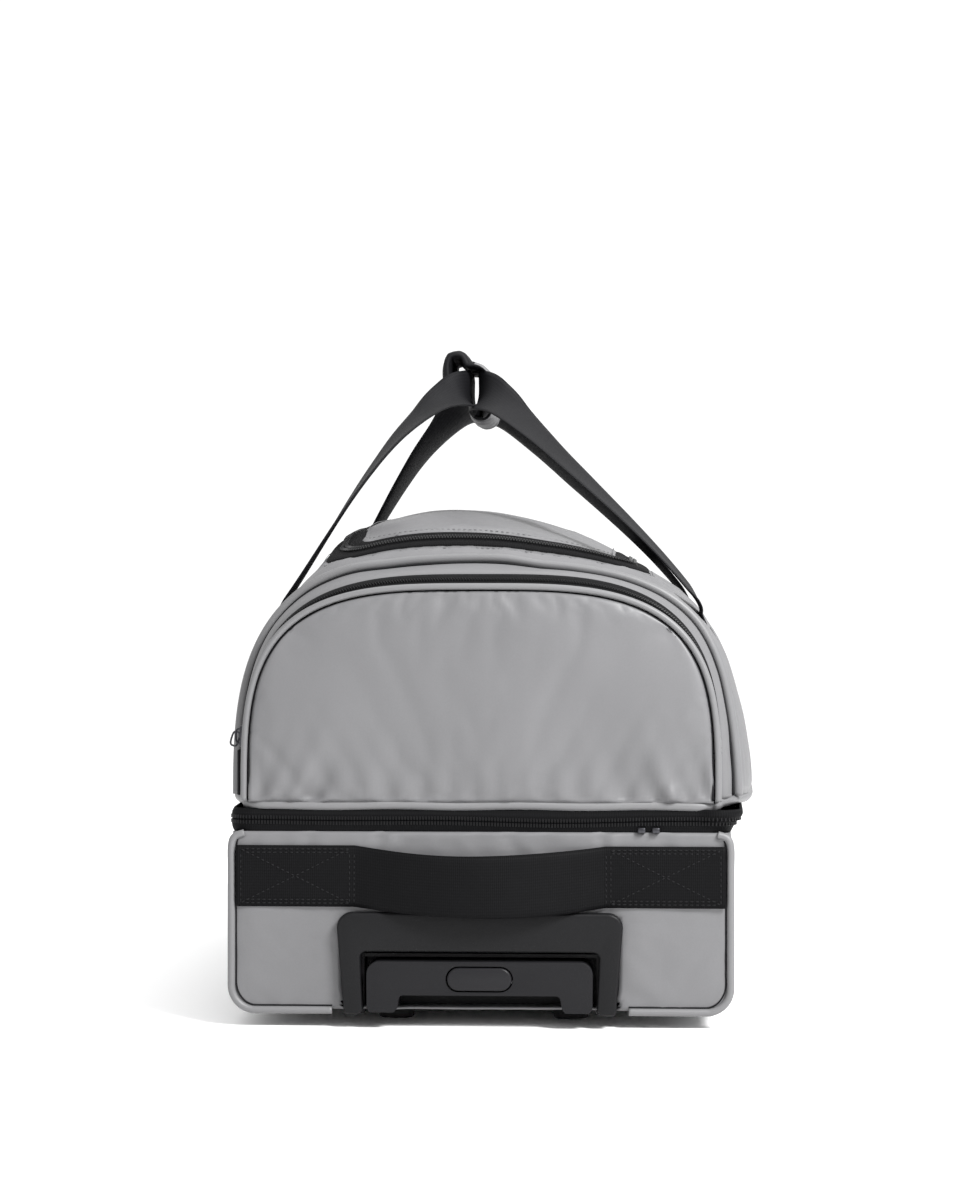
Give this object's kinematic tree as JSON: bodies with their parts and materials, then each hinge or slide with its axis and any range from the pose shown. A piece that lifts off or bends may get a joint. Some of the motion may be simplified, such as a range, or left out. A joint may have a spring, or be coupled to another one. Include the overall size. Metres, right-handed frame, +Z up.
{
  "type": "rolling duffel bag",
  "caption": "Split-level rolling duffel with a zipped lid, a zipped front pocket, a lower compartment, carry straps, wheels at the rear and a retractable pull handle.",
  "frame": {"origin": "centre of the bounding box, on the ground plane the feet and wheels stand on", "axes": "+Z up; +Y along the bag from the pull-handle end to the wheels; +X to the right of someone facing the pull-handle end"},
  "size_m": [0.386, 0.694, 0.4918],
  "materials": {
    "fabric_grey": "smooth coated woven polyester, matt",
    "piping_grey": "coated piping cord",
    "webbing_black": "ribbed nylon webbing",
    "zip_black": "woven zip tape with coil",
    "plastic_black": "fine grained moulding",
    "button_black": "smooth moulding",
    "tube_aluminium": "anodised",
    "steel": "plated",
    "slider_metal": "dark plated",
    "tyre_rubber": "moulded",
    "foot_rubber": "moulded",
    "board_dark": "stiff lining board"
  },
  "bodies": {
    "base": {"lower_shell": "fabric_grey", "chassis_tray": "board_dark", "trolley_cover": "board_dark", "handle_bezel": "plastic_black", "handle_well": "plastic_black", "outer_tube_left": "tube_aluminium", "outer_tube_right": "tube_aluminium", "tube_end_bracket": "plastic_black", "front_foot_left": "foot_rubber", "front_foot_right": "foot_rubber", "wheel_housing_left": "plastic_black", "wheel_housing_right": "plastic_black", "axle_left": "steel", "axle_right": "steel", "rear_kick_plate": "plastic_black", "lower_piping_left": "piping_grey", "lower_piping_right": "piping_grey", "grab_handle": "webbing_black", "mid_zip_lower_tape": "zip_black", "rear_hinge_strip": "fabric_grey"},
    "upper_case": {"upper_shell": "fabric_grey", "lid_zip_body_tape": "zip_black", "mid_piping": "piping_grey", "divider_panel": "board_dark", "mid_zip_upper_tape": "zip_black", "pocket_panel_lower": "fabric_grey", "pocket_gusset": "fabric_grey", "pocket_zip_rear_tape": "zip_black", "pocket_arch_gusset": "fabric_grey", "pocket_piping_left": "piping_grey", "pocket_piping_right": "piping_grey", "handle_anchor_left_front": "webbing_black", "handle_anchor_left_rear": "webbing_black", "handle_anchor_right_front": "webbing_black", "handle_anchor_right_rear": "webbing_black", "lid_zip_slider": "slider_metal"},
    "lid": {"lid_panel": "fabric_grey", "lid_zip_lid_tape": "zip_black"},
    "lid_pull": {"lid_zip_pull": "fabric_grey"},
    "pocket_flap": {"pocket_flap_panel": "fabric_grey", "pocket_flap_piping": "piping_grey", "pocket_zip_front_tape": "zip_black"},
    "pocket_slider": {"pocket_zip_slider": "slider_metal"},
    "pocket_pull": {"pocket_zip_pull": "fabric_grey"},
    "mid_slider": {"mid_zip_slider": "slider_metal"},
    "mid_pull": {"mid_zip_pull": "fabric_grey"},
    "left_handle": {"handle_strap_left": "webbing_black"},
    "right_handle": {"handle_strap_right": "webbing_black", "handle_wrap": "fabric_grey"},
    "trolley_middle": {"middle_tube_left": "tube_aluminium", "middle_tube_right": "tube_aluminium"},
    "trolley_inner": {"inner_tube_left": "tube_aluminium", "inner_tube_right": "tube_aluminium", "grip": "plastic_black"},
    "release": {"release_button": "button_black", "release_linkage": "steel"},
    "wheel_left": {"wheel_hub_left": "plastic_black", "tyre_left": "tyre_rubber"},
    "wheel_right": {"wheel_hub_right": "plastic_black", "tyre_right": "tyre_rubber"}
  },
  "joints": [
    {"name": "upper_open", "type": "hinge", "parent": "base", "child": "upper_case", "pos_m": [0, 0.3415, 0.144], "axis": [-1, 0, 0], "range_deg": [0, 85]},
    {"name": "lid_open", "type": "hinge", "parent": "upper_case", "child": "lid", "pos_m": [0, 0.278, 0.3535], "axis": [-1, 0, 0], "range_deg": [0, 65]},
    {"name": "left_handle_swing", "type": "hinge", "parent": "upper_case", "child": "left_handle", "pos_m": [-0.1585, 0.0085, 0.294], "axis": [0, -1, 0], "range_deg": [0, 169]},
    {"name": "right_handle_swing", "type": "hinge", "parent": "upper_case", "child": "right_handle", "pos_m": [0.1585, 0.0085, 0.294], "axis": [0, 1, 0], "range_deg": [0, 169]},
    {"name": "pocket_flap_open", "type": "hinge", "parent": "upper_case", "child": "pocket_flap", "pos_m": [0, -0.3265, 0.2], "axis": [1, 0, 0], "range_deg": [0, 120]},
    {"name": "pocket_zip_slide", "type": "slide", "parent": "upper_case", "child": "pocket_slider", "axis": [0.012, 0, 0.9999], "range_m": [0, 0.024]},
    {"name": "pocket_pull_swing", "type": "hinge", "parent": "pocket_slider", "child": "pocket_pull", "pos_m": [-0.17122, -0.3085, 0.1931], "axis": [0, 1, 0], "range_deg": [0, 85]},
    {"name": "mid_zip_slide", "type": "slide", "parent": "base", "child": "mid_slider", "axis": [0, -1, 0], "range_m": [0, 0.16]},
    {"name": "mid_pull_swing", "type": "hinge", "parent": "mid_slider", "child": "mid_pull", "pos_m": [-0.1824, 0.1095, 0.1366], "axis": [0, 1, 0], "range_deg": [0, 85]},
    {"name": "lid_pull_lift", "type": "hinge", "parent": "upper_case", "child": "lid_pull", "pos_m": [-0.112, 0.3025, 0.32538], "axis": [1, 0, 0], "range_deg": [0, 85]},
    {"name": "trolley_middle_slide", "type": "slide", "parent": "base", "child": "trolley_middle", "axis": [0, -1, 0], "range_m": [0, 0.2]},
    {"name": "trolley_inner_slide", "type": "slide", "parent": "trolley_middle", "child": "trolley_inner", "axis": [0, -1, 0], "range_m": [0, 0.2]},
    {"name": "button_press", "type": "slide", "parent": "trolley_inner", "child": "release", "axis": [0, 1, 0], "range_m": [0, 0.004], "stiffness_N_per_m": 400},
    {"name": "wheel_spin_left", "type": "hinge", "parent": "base", "child": "wheel_left", "pos_m": [-0.146, 0.3095, 0.0375], "axis": [1, 0, 0], "continuous": true},
    {"name": "wheel_spin_right", "type": "hinge", "parent": "base", "child": "wheel_right", "pos_m": [0.146, 0.3095, 0.0375], "axis": [1, 0, 0], "continuous": true}
  ],
  "couplings": [
    {"joint": "left_handle_swing", "follows": "lid_open", "ratio": 2.6},
    {"joint": "right_handle_swing", "follows": "lid_open", "ratio": 2.6}
  ]
}
